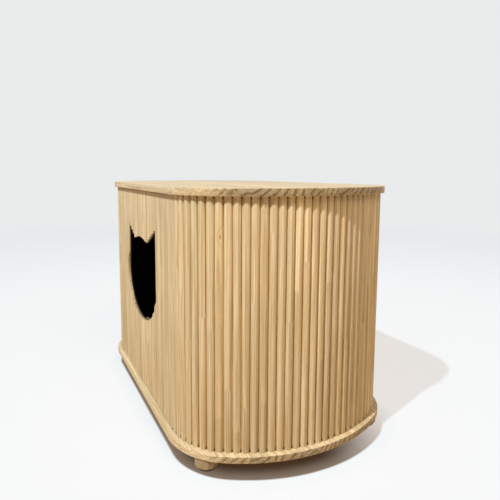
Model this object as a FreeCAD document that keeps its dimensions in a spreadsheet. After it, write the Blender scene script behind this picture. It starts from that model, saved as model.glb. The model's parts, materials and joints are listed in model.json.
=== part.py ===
import FreeCAD, Part
import math
import os
import re
import Sketcher

# Cat litter box cabinet: a long case with rounded ends, skinned all round in
# vertical half-round reeds. Its front is two leaves on hidden pivots, and the
# cat goes in through a cat's-head opening cut across both of them.
#
# Millimetres. +X runs along the length, -Y is the front, Z = 0 is the floor.
# The plan is measured at the bottom of the grooves between the reeds, which is
# the outer face of the backing that the reeds are glued to.

SIZES = (
    ("half_depth", 250, "centre to the backing's front face"),
    ("corner_radius", 136, "plan radius of the four corners"),
    ("end_radius", 359, "plan radius of the two bulged ends"),
    ("corner_lead", 2.1, "flat from the fixed skin's edge to the corner"),
    ("clear_height", 519, "between the two boards"),
    ("top_thick", 16, "top board"),
    ("base_thick", 15, "base board"),
    ("top_overhang", 14.5, "top board past the backing"),
    ("base_overhang", 17, "base board past the backing"),
    ("board_round", 1.6, "eased edges of both boards"),
    ("backing", 4, "thickness of the bent and flat backings"),
    ("reed_pitch", 17.8, "reed to reed along the front"),
    ("reed_height", 6, "reed crest above the backing"),
    ("reed_gap", 0.4, "between the feet of two reeds"),
    ("leaf_reeds", 15, "reeds on one door leaf"),
    ("seam_gap", 1.6, "between the two leaves"),
    ("hinge_gap", 0.8, "between a leaf and the fixed skin"),
    ("post_width", 22, "posts along X"),
    ("post_depth", 24, "posts along Y"),
    ("back_post_lap", 16, "back post behind the back panel"),
    ("former_width", 18, "curved formers and straight cleats, across"),
    ("former_height", 18, "curved formers and straight cleats, upright"),
    ("dowel_radius", 4, "dowels in the ends of the posts"),
    ("dowel_half", 10, "dowel length in each piece"),
    ("foot_past_flat", 81.4, "foot centres past the flat front, along X"),
    ("foot_inset", 41.4, "foot centres inside the backing's front"),
    ("foot_radius", 24.5, "turned feet"),
    ("foot_height", 30, "floor to the base board"),
    ("foot_chamfer", 4.5, "lower edge of a foot"),
    ("pad_thick", 3, "pad under a foot"),
    ("stud_radius", 4, "threaded stud of a foot"),
    ("stud_in_foot", 18, "stud length in the foot"),
    ("insert_radius", 6, "threaded insert in the base board"),
    ("insert_depth", 12, "threaded insert in the base board"),
    ("pin_radius", 2.5, "door pivot pins"),
    ("pin_length", 8, "pivot pin length in its bush"),
    ("pin_clearance", 0.05, "pin to bush, on the radius"),
    ("plate_thick", 1.5, "pivot plates"),
    ("plate_front", 3, "pivot plate forward of the pin's axis"),
    ("plate_reach", 12, "pivot plate from the axis towards the leaf"),
    ("plate_tail", 5, "pivot plate from the axis towards the post"),
    ("bush_radius", 4, "sleeve of a pivot bush"),
    ("bush_depth", 10, "sleeve of a pivot bush"),
    ("flange_radius", 6, "flange of a pivot bush"),
    ("flange_thick", 0.8, "flange of a pivot bush"),
    ("pivot_play", 0.2, "plate to flange"),
    ("panel_setback", 1.5, "leaf panel short of its end reed"),
    ("stile_width", 20, "hinge stile and meeting battens along X"),
    ("stile_depth", 14, "hinge stile and meeting battens along Y"),
    ("stop_gap", 0.3, "closed leaf to its stop"),
    ("rail_width", 16, "door stop rail along Y"),
    ("rail_height", 18, "door stop rail upright"),
    ("rail_relief", 20, "rail end short of the pivot's axis"),
    ("catch_start", 4, "catch's edge from the centre"),
    ("catch_length", 34, "magnetic catch along X"),
    ("catch_height", 13, "magnetic catch"),
    ("strike_thick", 1, "strike plate"),
    ("strike_margin", 2, "strike plate inside the catch's outline"),
    ("batten_margin", 8, "batten short of the opening"),
    ("screw_radius", 1.5, "wood screws"),
    ("screw_head", 3, "radius of a screw head"),
    ("screw_bite", 11, "screw length past the piece it holds"),
    ("former_spot", 100, "outer screws of a former, along Y"),
    ("cleat_spot", 200, "outer screws of a cleat and the rail, along X"),
    ("opening_base", 180, "chin of the opening above the base board"),
    ("chin_width", 82, "half width where the chin meets the cheek"),
    ("chin_rise", 17, "chin's curve"),
    ("cheek_width", 146, "half width across the cheeks"),
    ("cheek_rise", 92, "widest part of the cheeks above the chin"),
    ("ear_width", 142, "half width where ear meets cheek"),
    ("ear_rise", 163, "where ear meets cheek above the chin"),
    ("tip_width", 144, "half width of the ear tips"),
    ("tip_rise", 250, "ear tips above the chin"),
    ("tip_round", 5, "radius of the ear tips"),
    ("valley_width", 60, "half width where ear meets brow"),
    ("valley_rise", 208, "where ear meets brow above the chin"),
    ("brow_rise", 9, "brow's curve"),
)

# Places that several pieces share, each worked out from the sizes above.
PLACES = (
    ("base_face", "foot_height + base_thick"),
    ("top_face", "base_face + clear_height"),
    ("leaf_start", "seam_gap / 2"),
    ("leaf_end", "leaf_start + leaf_reeds * reed_pitch"),
    ("pivot_x", "leaf_end - reed_pitch / 2"),
    ("skin_start", "leaf_end + hinge_gap"),
    ("flat_half", "skin_start + corner_lead"),
    ("corner_centre", "half_depth - corner_radius"),
    ("end_centre", "flat_half - sqrt((end_radius - corner_radius)^2 - corner_centre^2)"),
    ("half_length", "end_centre + end_radius"),
    ("post_end", "skin_start + post_width"),
    ("back_post_start", "skin_start - back_post_lap"),
    ("inner_face", "half_depth - backing"),
    ("door_gap", "plate_thick + flange_thick + pivot_play"),
    ("leaf_base", "base_face + door_gap"),
    ("leaf_top", "top_face - door_gap"),
    ("panel_end", "leaf_end - reed_gap / 2 - panel_setback"),
    ("panel_start", "leaf_start + reed_gap / 2"),
    ("stile_face", "inner_face - stile_depth"),
    ("stop_face", "stile_face - stop_gap"),
    ("rail_end", "pivot_x - rail_relief"),
    ("rail_base", "top_face - rail_height"),
    ("catch_base", "rail_base - catch_height"),
    ("catch_face", "stile_face - strike_thick - stop_gap"),
    ("foot_x", "flat_half + foot_past_flat"),
    ("foot_y", "half_depth - foot_inset"),
    ("foot_top", "foot_height - pad_thick"),
    ("former_line", "end_radius - backing - former_width / 2"),
    ("former_spot_x", "end_centre + sqrt(former_line^2 - former_spot^2)"),
    ("dome_top", "base_face + opening_base + valley_rise + brow_rise"),
)

SIDES = {"right": 1, "left": -1}
FAR = "half_length * 2"

doc = FreeCAD.newDocument("litter_cabinet")
sheet = doc.addObject("Spreadsheet::Sheet", "sizes")
places = doc.addObject("App::VarSet", "places")
nodes = {}


def fill_sheet():
    for row, (name, value, meaning) in enumerate(SIZES, start=1):
        sheet.set(f"A{row}", name)
        sheet.set(f"B{row}", str(value))
        sheet.set(f"C{row}", meaning)
        sheet.setAlias(f"B{row}", name)
    doc.recompute()
    for name, text in PLACES:
        places.addProperty("App::PropertyFloat", name, "Places", text)
        places.setExpression(name, formula(text))
    doc.recompute()


def formula(text):
    """Point each word of a formula at the cell or place that it names."""
    owners = {name: "sizes" for name, _, _ in SIZES}
    owners.update({name: "places" for name, _ in PLACES})

    def point(match):
        word = match.group(0)
        return f"{owners[word]}.{word}" if word in owners else word

    return re.sub(r"[a-z_]+", point, str(text))


def size(name):
    return float(sheet.get(name))


def place(name):
    return float(getattr(places, name))


def bind(thing, **formulas):
    for prop, text in formulas.items():
        thing.setExpression(prop, formula(text))


def put(thing, x=None, y=None, z=None):
    for axis, text in (("x", x), ("y", y), ("z", z)):
        if text is not None:
            thing.setExpression(f"Placement.Base.{axis}", formula(text))


def keep(node, thing):
    """Name a finished sub-part, which is then written to its own file."""
    thing.Label = node
    nodes[node] = thing
    return thing


# Plain solids

def block(name, low, high, side=1):
    """Box between two corners, mirrored to -X when side is -1."""
    thing = doc.addObject("Part::Box", name)
    length, width, height = (f"({b}) - ({a})" for a, b in zip(low, high))
    bind(thing, Length=length, Width=width, Height=height)
    put(thing, low[0] if side > 0 else f"-({high[0]})", low[1], low[2])
    return thing


def rod(name, spot, radius, low, high):
    thing = doc.addObject("Part::Cylinder", name)
    bind(thing, Radius=radius, Height=f"({high}) - ({low})")
    put(thing, spot[0], spot[1], low)
    return thing


def fuse(name, *pieces):
    thing = doc.addObject("Part::MultiFuse", name)
    thing.Shapes = list(pieces)
    return thing


def cut(name, base, tool):
    thing = doc.addObject("Part::Cut", name)
    thing.Base, thing.Tool = base, tool
    return thing


def common(name, base, tool):
    thing = doc.addObject("Part::Common", name)
    thing.Base, thing.Tool = base, tool
    return thing


def group(name, pieces):
    """Several like solids that stay separate."""
    thing = doc.addObject("Part::Compound", name)
    thing.Links = list(pieces)
    return thing


def mirrored(side, text):
    return f"({text})" if side > 0 else f"-({text})"


def screw(name, spot, head, tip):
    """Countersunk wood screw: head is the height of its flat face, tip that of
    its point, so it can go up or down."""
    upward = tip[1] > 0
    depth = "screw_head - screw_radius"
    shank_low, shank_high = (head, tip[0]) if upward else (tip[0], head)
    shank = rod(f"{name}_shank", spot, "screw_radius", shank_low, shank_high)
    cone = doc.addObject("Part::Cone", f"{name}_head")
    radii = ("screw_head", "screw_radius") if upward else ("screw_radius", "screw_head")
    bind(cone, Radius1=radii[0], Radius2=radii[1], Height=depth)
    put(cone, spot[0], spot[1], head if upward else f"({head}) - ({depth})")
    return fuse(name, shank, cone)


# The plan outline

def plan_sketch(sketch, offset, grow):
    """Rounded plan as two flats, four corner arcs and two end arcs, all tangent.
    offset is the formula by which it lies outside the backing, grow its value."""
    flat, centre_y = place("flat_half"), place("corner_centre")
    end_x, depth = place("end_centre"), size("half_depth") + grow
    corner, end = size("corner_radius") + grow, size("end_radius") + grow
    tilt = math.asin(centre_y / (size("end_radius") - size("corner_radius")))
    quarter, half = math.pi / 2, math.pi

    def line(x1, y1, x2, y2):
        return Part.LineSegment(FreeCAD.Vector(x1, y1, 0), FreeCAD.Vector(x2, y2, 0))

    def arc(x, y, radius, start, stop):
        circle = Part.Circle(FreeCAD.Vector(x, y, 0), FreeCAD.Vector(0, 0, 1), radius)
        return Part.ArcOfCircle(circle, start, stop)

    sketch.addGeometry([
        line(-flat, -depth, flat, -depth),
        arc(flat, -centre_y, corner, -quarter, -tilt),
        arc(end_x, 0, end, -tilt, tilt),
        arc(flat, centre_y, corner, tilt, quarter),
        line(flat, depth, -flat, depth),
        arc(-flat, centre_y, corner, quarter, half - tilt),
        arc(-end_x, 0, end, half - tilt, half + tilt),
        arc(-flat, -centre_y, corner, half + tilt, half + quarter),
    ], False)
    for edge in range(8):
        sketch.addConstraint(Sketcher.Constraint("Tangent", edge, 2, (edge + 1) % 8, 1))
    for edge, sign_x, sign_y in ((1, 1, -1), (3, 1, 1), (5, -1, 1), (7, -1, -1)):
        pin_point(sketch, edge, 3, mirrored(sign_x, "flat_half"), sign_x * flat,
                  mirrored(sign_y, "corner_centre"), sign_y * centre_y)
        pin_radius(sketch, edge, f"corner_radius + {offset}", corner)
    for edge in (2, 6):
        pin_radius(sketch, edge, f"end_radius + {offset}", end)


def pin_point(sketch, edge, point, x_text, x_value, y_text, y_value):
    for kind, text, value in (("DistanceX", x_text, x_value), ("DistanceY", y_text, y_value)):
        row = sketch.addConstraint(Sketcher.Constraint(kind, -1, 1, edge, point, value))
        sketch.setExpression(f"Constraints[{row}]", formula(text))


def pin_radius(sketch, edge, text, value):
    row = sketch.addConstraint(Sketcher.Constraint("Radius", edge, value))
    sketch.setExpression(f"Constraints[{row}]", formula(text))


def plan_solid(name, offset, grow):
    """Prism of the plan, as tall as the clear space between the boards."""
    sketch = doc.addObject("Sketcher::SketchObject", f"{name}_plan")
    plan_sketch(sketch, offset, grow)
    put(sketch, z="base_face")
    thing = doc.addObject("Part::Extrusion", name)
    thing.Base, thing.Dir, thing.Solid = sketch, FreeCAD.Vector(0, 0, 1), True
    bind(thing, LengthFwd="clear_height")
    return thing


def plane_of(body, role):
    return next(item for item in body.Origin.OriginFeatures if item.Role == role)


def attached(body, name, role, lift="0"):
    """Sketch on one of the body's own planes, lifted along its normal."""
    sketch = body.newObject("Sketcher::SketchObject", name)
    sketch.AttachmentSupport = (plane_of(body, role), [""])
    sketch.MapMode = "FlatFace"
    sketch.setExpression("AttachmentOffset.Base.z", formula(lift))
    return sketch


# Boards

def drill(body, name, face, spots, radius, depth, upward):
    """Blind round holes from one face of a board. The board must lose volume."""
    before = body.Shape.Volume
    sketch = attached(body, f"{name}_plan", "XY_Plane", face)
    for index, (x_text, y_text) in enumerate(spots):
        circle = Part.Circle(FreeCAD.Vector(0, 0, 0), FreeCAD.Vector(0, 0, 1), 1)
        sketch.addGeometry(circle, False)
        pin_point(sketch, index, 3, x_text, 0, y_text, 0)
        pin_radius(sketch, index, radius, 1)
    pocket = body.newObject("PartDesign::Pocket", name)
    pocket.Profile = sketch
    pocket.Reversed = upward
    bind(pocket, Length=depth)
    doc.recompute()
    if body.Shape.Volume >= before:
        raise RuntimeError(f"{name} cuts nothing")


def board(node, low, thick, overhang):
    body = doc.addObject("PartDesign::Body", node)
    sketch = attached(body, f"{node}_plan", "XY_Plane", low)
    plan_sketch(sketch, overhang, size(overhang))
    pad = body.newObject("PartDesign::Pad", f"{node}_slab")
    pad.Profile = sketch
    bind(pad, Length=thick)
    doc.recompute()
    rims = [f"Edge{number}" for number, edge in enumerate(pad.Shape.Edges, start=1)
            if abs(edge.Vertexes[0].Z - edge.Vertexes[-1].Z) < 0.001]
    ease = body.newObject("PartDesign::Fillet", f"{node}_ease")
    ease.Base = (pad, rims)
    bind(ease, Radius="board_round")
    doc.recompute()
    return keep(node, body)


def four_spots(x_text, y_text):
    return [(mirrored(sx, x_text), mirrored(sy, y_text)) for sx in (1, -1) for sy in (-1, 1)]


def pivot_spots():
    return [(mirrored(side, "pivot_x"), "-half_depth") for side in SIDES.values()]


def post_spots():
    middle_y = "inner_face - post_depth / 2"
    return four_spots("(skin_start + post_end) / 2", middle_y)


def former_spots(side):
    middle = ("end_centre + former_line", "0")
    outer = [("former_spot_x", f"{sign}former_spot") for sign in ("-", "")]
    return [(mirrored(side, x_text), y_text) for x_text, y_text in [middle, *outer]]


def cleat_spots(y_text):
    return [(x_text, y_text) for x_text in ("-cleat_spot", "0", "cleat_spot")]


CLEAT_Y = "inner_face - former_width / 2"
RAIL_Y = "-stop_face + rail_width / 2"


def make_boards():
    screws = former_spots(1) + former_spots(-1) + cleat_spots(CLEAT_Y)
    top = board("top_board", "top_face", "top_thick", "top_overhang")
    drill(top, "top_bush_holes", "top_face", pivot_spots(), "bush_radius", "bush_depth", True)
    drill(top, "top_dowel_holes", "top_face", post_spots(), "dowel_radius", "dowel_half", True)
    drill(top, "top_screw_holes", "top_face", screws + cleat_spots(RAIL_Y),
          "screw_radius", "screw_bite", True)

    base = board("base_board", "foot_height", "base_thick", "base_overhang")
    drill(base, "base_bush_holes", "base_face", pivot_spots(), "bush_radius", "bush_depth", False)
    drill(base, "base_dowel_holes", "base_face", post_spots(), "dowel_radius", "dowel_half", False)
    drill(base, "base_screw_holes", "base_face", screws, "screw_radius", "screw_bite", False)
    drill(base, "insert_holes", "foot_height", four_spots("foot_x", "foot_y"),
          "insert_radius", "insert_depth", True)


# Feet

def outline_sketch(body, name, role, corners):
    """Closed polygon whose corners are held by formulas."""
    sketch = attached(body, name, role)
    count = len(corners)
    for index in range(count):
        angle, after = (2 * math.pi * step / count for step in (index, index + 1))
        start = FreeCAD.Vector(math.cos(angle), math.sin(angle), 0)
        stop = FreeCAD.Vector(math.cos(after), math.sin(after), 0)
        sketch.addGeometry(Part.LineSegment(start, stop), False)
    for index in range(count):
        link = Sketcher.Constraint("Coincident", index, 2, (index + 1) % count, 1)
        sketch.addConstraint(link)
    for index, (x_text, y_text) in enumerate(corners):
        pin_point(sketch, index, 1, x_text, 0, y_text, 0)
    return sketch


def foot(node, side, front):
    """Turned foot with a chamfered lower edge and a blind bore for its stud."""
    body = doc.addObject("PartDesign::Body", node)
    hole = "foot_top - stud_in_foot"
    corners = [("0", "0"), ("foot_radius - foot_chamfer", "0"), ("foot_radius", "foot_chamfer"),
               ("foot_radius", "foot_top"), ("stud_radius", "foot_top"),
               ("stud_radius", hole), ("0", hole)]
    sketch = outline_sketch(body, f"{node}_profile", "XZ_Plane", corners)
    turned = body.newObject("PartDesign::Revolution", f"{node}_turned")
    turned.Profile = sketch
    turned.ReferenceAxis = (sketch, ["V_Axis"])
    turned.Angle = 360
    put(body, mirrored(side, "foot_x"), mirrored(front, "foot_y"), "pad_thick")
    keep(node, body)


def make_feet():
    spots = []
    for row, front in (("front", -1), ("back", 1)):
        for word, side in SIDES.items():
            foot(f"{row}_{word}_foot", side, front)
            spot = (mirrored(side, "foot_x"), mirrored(front, "foot_y"))
            pad = rod(f"{row}_{word}_pad", spot, "foot_radius - foot_chamfer", "0", "pad_thick")
            keep(f"{row}_{word}_foot_pad", pad)
            spots.append(spot)

    hole = "foot_height - stud_in_foot"
    top = "foot_height + insert_depth"
    studs = [rod(f"stud_{number}", spot, "stud_radius", hole, top)
             for number, spot in enumerate(spots)]
    keep("foot_studs", group("stud_set", studs))
    inserts = []
    for number, spot in enumerate(spots):
        outside = rod(f"insert_{number}_outside", spot, "insert_radius", "foot_height", top)
        bore = rod(f"insert_{number}_bore", spot, "stud_radius", "foot_height", top)
        inserts.append(cut(f"insert_{number}", outside, bore))
    keep("foot_inserts", group("insert_set", inserts))


# Fixed frame and skin

def make_screws():
    """Screws that hold formers, cleats and the stop rail to the boards."""
    up = ("top_face + screw_bite", 1)
    down = ("base_face - screw_bite", -1)
    top_head, base_head = "top_face - former_height", "base_face + former_height"
    spots = former_spots(1) + former_spots(-1)
    top = [screw(f"top_former_screw_{n}", s, top_head, up) for n, s in enumerate(spots)]
    base = [screw(f"base_former_screw_{n}", s, base_head, down) for n, s in enumerate(spots)]
    formers = keep("former_screws", group("former_screw_set", top + base))

    spots = cleat_spots(CLEAT_Y)
    top = [screw(f"top_cleat_screw_{n}", s, top_head, up) for n, s in enumerate(spots)]
    base = [screw(f"base_cleat_screw_{n}", s, base_head, down) for n, s in enumerate(spots)]
    cleats = keep("cleat_screws", group("cleat_screw_set", top + base))

    rail = [screw(f"rail_screw_{n}", s, "rail_base", up)
            for n, s in enumerate(cleat_spots(RAIL_Y))]
    return formers, cleats, keep("rail_screws", group("rail_screw_set", rail))


def make_dowels():
    dowels = []
    for number, spot in enumerate(post_spots()):
        for level, face in (("base", "base_face"), ("top", "top_face")):
            low, high = f"{face} - dowel_half", f"{face} + dowel_half"
            dowels.append(rod(f"{level}_dowel_{number}", spot, "dowel_radius", low, high))
    return keep("post_dowels", group("dowel_set", dowels))


def make_frame():
    """Posts, curved formers, cleats and the bent backings that they carry."""
    former_screws, cleat_screws, rail_screws = make_screws()
    dowels = make_dowels()
    outside = plan_solid("skin_outside", "0", 0)
    inside = plan_solid("skin_inside", "-backing", -size("backing"))
    core = plan_solid("former_inside", "-backing - former_width",
                      -size("backing") - size("former_width"))
    skin = cut("skin_ring", outside, inside)
    curb = cut("former_ring", inside, core)

    for word, side in SIDES.items():
        end = block(f"{word}_end_space", ("skin_start", "-half_depth", "base_face"),
                    (FAR, "half_depth", "top_face"), side)
        keep(f"{word}_end_shell", common(f"{word}_shell_piece", skin, end))

        deep = "inner_face - post_depth"
        space = block(f"front_{word}_post_space", ("skin_start", "-half_depth", "base_face"),
                      ("post_end", f"-({deep})", "top_face"), side)
        piece = common(f"front_{word}_post_blank", inside, space)
        keep(f"front_{word}_post", cut(f"front_{word}_post_piece", piece, dowels))
        space = block(f"back_{word}_post_space", ("back_post_start", deep, "base_face"),
                      ("post_end", "half_depth", "top_face"), side)
        piece = common(f"back_{word}_post_blank", inside, space)
        keep(f"back_{word}_post", cut(f"back_{word}_post_piece", piece, dowels))

        levels = (("top", "top_face - former_height", "top_face"),
                  ("base", "base_face", "base_face + former_height"))
        for level, low, high in levels:
            space = block(f"{word}_{level}_former_space", ("post_end", "-half_depth", low),
                          (FAR, "half_depth", high), side)
            piece = common(f"{word}_{level}_former_blank", curb, space)
            keep(f"{word}_{level}_former",
                 cut(f"{word}_{level}_former_piece", piece, former_screws))

    for level, low, high in levels:
        blank = block(f"{level}_cleat_blank",
                      ("-back_post_start", "inner_face - former_width", low),
                      ("back_post_start", "inner_face", high))
        keep(f"{level}_back_cleat", cut(f"{level}_cleat_piece", blank, cleat_screws))
    keep("back_panel", block("back_panel_piece", ("-skin_start", "inner_face", "base_face"),
                             ("skin_start", "half_depth", "top_face")))
    return rail_screws


def make_stop_rail(rail_screws):
    """Rail behind the leaves' top edges, with a magnetic catch for each leaf."""
    catch_screws = []
    for word, side in SIDES.items():
        catch = block(f"{word}_catch_blank", ("catch_start", "-catch_face", "catch_base"),
                      ("catch_start + catch_length", "-stop_face + rail_width", "rail_base"), side)
        screws = []
        for number, share in enumerate(("1 / 4", "3 / 4")):
            spot = (mirrored(side, f"catch_start + catch_length * {share}"), RAIL_Y)
            screws.append(screw(f"{word}_catch_screw_{number}", spot, "catch_base",
                                ("rail_base + screw_bite", 1)))
        catch_screws += screws
        drilled = cut(f"{word}_catch_piece", catch, group(f"{word}_catch_holes", screws))
        keep(f"{word}_catch", drilled)
    catch_set = keep("catch_screws", group("catch_screw_set", catch_screws))
    blank = block("rail_blank", ("-rail_end", "-stop_face", "rail_base"),
                  ("rail_end", "-stop_face + rail_width", "top_face"))
    drilled = cut("rail_drilled", blank, rail_screws)
    keep("door_stop_rail", cut("rail_piece", drilled, catch_set))


# Reeds

def reed(middle, outward, width, low, high):
    """Half-round reed, its flat back square to outward at middle."""
    along = FreeCAD.Vector(-outward.y, outward.x, 0)
    foot_a, foot_b = middle - along * (width / 2), middle + along * (width / 2)
    crest = middle + outward * size("reed_height")
    edges = [Part.Arc(foot_a, crest, foot_b).toShape(), Part.makeLine(foot_b, foot_a)]
    face = Part.Face(Part.Wire(edges))
    face.translate(FreeCAD.Vector(0, 0, low))
    return face.extrude(FreeCAD.Vector(0, 0, high - low))


def end_point(travel):
    """Point and outward direction on the right end's backing, at a distance
    along it from the front edge of the fixed skin."""
    corner, end = size("corner_radius"), size("end_radius")
    flat, lead = place("flat_half"), size("corner_lead")
    tilt = math.asin(place("corner_centre") / (end - corner))
    corner_run, end_run = corner * (math.pi / 2 - tilt), 2 * end * tilt
    runs = ((lead, "flat", -1), (corner_run, "corner", -1), (end_run, "end", 0),
            (corner_run, "corner", 1), (lead, "flat", 1))
    for run, kind, sign in runs:
        if travel <= run or (kind, sign) == ("flat", 1):
            break
        travel -= run
    if kind == "flat":
        x = place("skin_start") + travel if sign < 0 else flat - travel
        return FreeCAD.Vector(x, sign * size("half_depth"), 0), FreeCAD.Vector(0, sign, 0)
    if kind == "corner":
        centre = FreeCAD.Vector(flat, sign * place("corner_centre"), 0)
        radius = corner
        angle = -math.pi / 2 + travel / corner if sign < 0 else tilt + travel / corner
    else:
        centre = FreeCAD.Vector(place("end_centre"), 0, 0)
        radius, angle = end, -tilt + travel / end
    outward = FreeCAD.Vector(math.cos(angle), math.sin(angle), 0)
    return centre + outward * radius, outward


def end_run_length():
    corner, end = size("corner_radius"), size("end_radius")
    tilt = math.asin(place("corner_centre") / (end - corner))
    return 2 * (size("corner_lead") + corner * (math.pi / 2 - tilt) + end * tilt)


def reed_feature(name, reeds):
    thing = doc.addObject("Part::Feature", name)
    thing.Shape = Part.makeCompound(reeds)
    return thing


def make_fixed_reeds():
    """Reeds of the two ends and the back, spread evenly over each stretch."""
    low, high = place("base_face"), place("top_face")
    length = end_run_length()
    count = round(length / size("reed_pitch"))
    step = length / count
    for word, side in SIDES.items():
        reeds = []
        for number in range(count):
            middle, outward = end_point(step * (number + 0.5))
            middle.x, outward.x = side * middle.x, side * outward.x
            reeds.append(reed(middle, outward, step - size("reed_gap"), low, high))
        keep(f"{word}_end_reeds", reed_feature(f"{word}_end_reed_row", reeds))

    width = 2 * place("skin_start")
    count = round(width / size("reed_pitch"))
    step = width / count
    reeds = []
    for number in range(count):
        middle = FreeCAD.Vector(step * (number + 0.5) - width / 2, size("half_depth"), 0)
        reeds.append(reed(middle, FreeCAD.Vector(0, 1, 0), step - size("reed_gap"), low, high))
    keep("back_reeds", reed_feature("back_reed_row", reeds))


def leaf_reeds(word, side):
    step = size("reed_pitch")
    reeds = []
    for number in range(round(size("leaf_reeds"))):
        x = side * (place("leaf_start") + step * (number + 0.5))
        middle = FreeCAD.Vector(x, -size("half_depth"), 0)
        reeds.append(reed(middle, FreeCAD.Vector(0, -1, 0), step - size("reed_gap"),
                          place("leaf_base"), place("leaf_top")))
    return reed_feature(f"{word}_leaf_reed_row", reeds)


# Door leaves

def opening_cutter():
    """Prism of the cat's-head opening: chin, cheeks, ears and brow."""
    chin = place("base_face") + size("opening_base")

    def point(side, width, rise):
        return FreeCAD.Vector(side * width, 0, chin + rise)

    half = {side: {
        "chin": point(side, size("chin_width"), size("chin_rise")),
        "cheek": point(side, size("cheek_width"), size("cheek_rise")),
        "ear": point(side, size("ear_width"), size("ear_rise")),
        "tip": point(side, size("tip_width"), size("tip_rise")),
        "valley": point(side, size("valley_width"), size("valley_rise")),
    } for side in (1, -1)}
    edges = [Part.Arc(half[-1]["chin"], point(1, 0, 0), half[1]["chin"]).toShape()]
    for side in (1, -1):
        spots = half[side]
        edges.append(Part.Arc(spots["chin"], spots["cheek"], spots["ear"]).toShape())
        edges += ear_edges(spots["ear"], spots["tip"], spots["valley"])
    brow = point(1, 0, size("valley_rise") + size("brow_rise"))
    edges.append(Part.Arc(half[1]["valley"], brow, half[-1]["valley"]).toShape())
    face = Part.Face(Part.Wire(Part.__sortEdges__(edges)))
    reach = size("half_depth")
    face.translate(FreeCAD.Vector(0, -2 * reach, 0))
    thing = doc.addObject("Part::Feature", "opening_cutter")
    thing.Shape = face.extrude(FreeCAD.Vector(0, 2 * reach, 0))
    return thing


def ear_edges(outer, tip, inner):
    """The two straight sides of an ear and the round between them."""
    radius = size("tip_round")
    to_outer, to_inner = (outer - tip).normalize(), (inner - tip).normalize()
    half_angle = to_outer.getAngle(to_inner) / 2
    back = radius / math.tan(half_angle)
    middle = (to_outer + to_inner).normalize()
    top = tip + middle * (radius / math.sin(half_angle) - radius)
    start, stop = tip + to_outer * back, tip + to_inner * back
    return [Part.makeLine(outer, start), Part.Arc(start, top, stop).toShape(),
            Part.makeLine(stop, inner)]


def make_leaf(word, side, cutter):
    name = f"{word}_door"
    panel = block(f"{word}_panel_blank", ("panel_start", "-half_depth", "leaf_base"),
                  ("panel_end", "-inner_face", "leaf_top"), side)
    keep(f"{name}_panel", cut(f"{word}_panel_piece", panel, cutter))
    keep(f"{name}_reeds", cut(f"{word}_leaf_reed_piece", leaf_reeds(word, side), cutter))

    battens = []
    for level, low, high in (("upper", "dome_top + batten_margin", "leaf_top"),
                             ("lower", "leaf_base",
                              "base_face + opening_base - batten_margin")):
        battens.append(block(f"{word}_{level}_batten", ("panel_start", "-inner_face", low),
                             ("panel_start + stile_width", "-stile_face", high), side))
    keep(f"{name}_meeting_battens", group(f"{word}_batten_pair", battens))
    edges = ("catch_start + strike_margin", "catch_start + catch_length - strike_margin")
    keep(f"{name}_strike",
         block(f"{word}_strike_piece", (edges[0], "-stile_face", "catch_base + strike_margin"),
               ("panel_start + stile_width", "-stile_face + strike_thick",
                "rail_base - strike_margin"), side))
    make_pivots(word, side)


def make_pivots(word, side):
    """Pivot plates let the leaf turn about the middle of its end reed."""
    name = f"{word}_door"
    spot = (mirrored(side, "pivot_x"), "-half_depth")
    screw_spots = [(mirrored(side, f"pivot_x - {near}"), "-inner_face + stile_depth / 2")
                   for near in ("plate_reach + plate_tail / 2 + screw_radius",
                                "plate_reach / 2")]
    levels = (
        ("top", "leaf_top", "leaf_top + plate_thick",
         "leaf_top", "top_face + pin_length", ("leaf_top - screw_bite", -1)),
        ("base", "leaf_base - plate_thick", "leaf_base",
         "base_face - pin_length", "leaf_base", ("leaf_base + screw_bite", 1)),
    )
    screws = []
    for level, low, high, pin_low, pin_high, tip in levels:
        head = high if level == "top" else low
        pair = [screw(f"{word}_{level}_pivot_screw_{number}", place_, head, tip)
                for number, place_ in enumerate(screw_spots)]
        screws += pair
        arm = block(f"{word}_{level}_arm",
                    ("pivot_x - plate_reach", "-half_depth - plate_front", low),
                    ("pivot_x + plate_tail", "-stile_face - screw_radius", high), side)
        pin = rod(f"{word}_{level}_pin", spot, "pin_radius", pin_low, pin_high)
        blank = fuse(f"{word}_{level}_pivot_blank", arm, pin)
        holes = group(f"{word}_{level}_pivot_holes", pair)
        keep(f"{name}_{level}_pivot", cut(f"{word}_{level}_pivot_piece", blank, holes))
    screw_set = keep(f"{name}_pivot_screws", group(f"{word}_pivot_screw_set", screws))
    stile = block(f"{word}_stile_blank", ("panel_end - stile_width", "-inner_face", "leaf_base"),
                  ("panel_end", "-stile_face", "leaf_top"), side)
    keep(f"{name}_hinge_stile", cut(f"{word}_stile_piece", stile, screw_set))


def make_bushes():
    for word, side in SIDES.items():
        spot = (mirrored(side, "pivot_x"), "-half_depth")
        levels = (("top", "top_face", "top_face + bush_depth",
                   "top_face - flange_thick", "top_face"),
                  ("base", "base_face - bush_depth", "base_face",
                   "base_face", "base_face + flange_thick"))
        for level, low, high, flange_low, flange_high in levels:
            name = f"{word}_{level}_bush"
            sleeve = rod(f"{name}_sleeve", spot, "bush_radius", low, high)
            flange = rod(f"{name}_flange", spot, "flange_radius", flange_low, flange_high)
            bore = rod(f"{name}_bore", spot, "pin_radius + pin_clearance",
                       f"({low}) - flange_thick", f"({high}) + flange_thick")
            blank = fuse(f"{name}_blank", sleeve, flange)
            keep(name, cut(f"{name}_piece", blank, bore))


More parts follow.
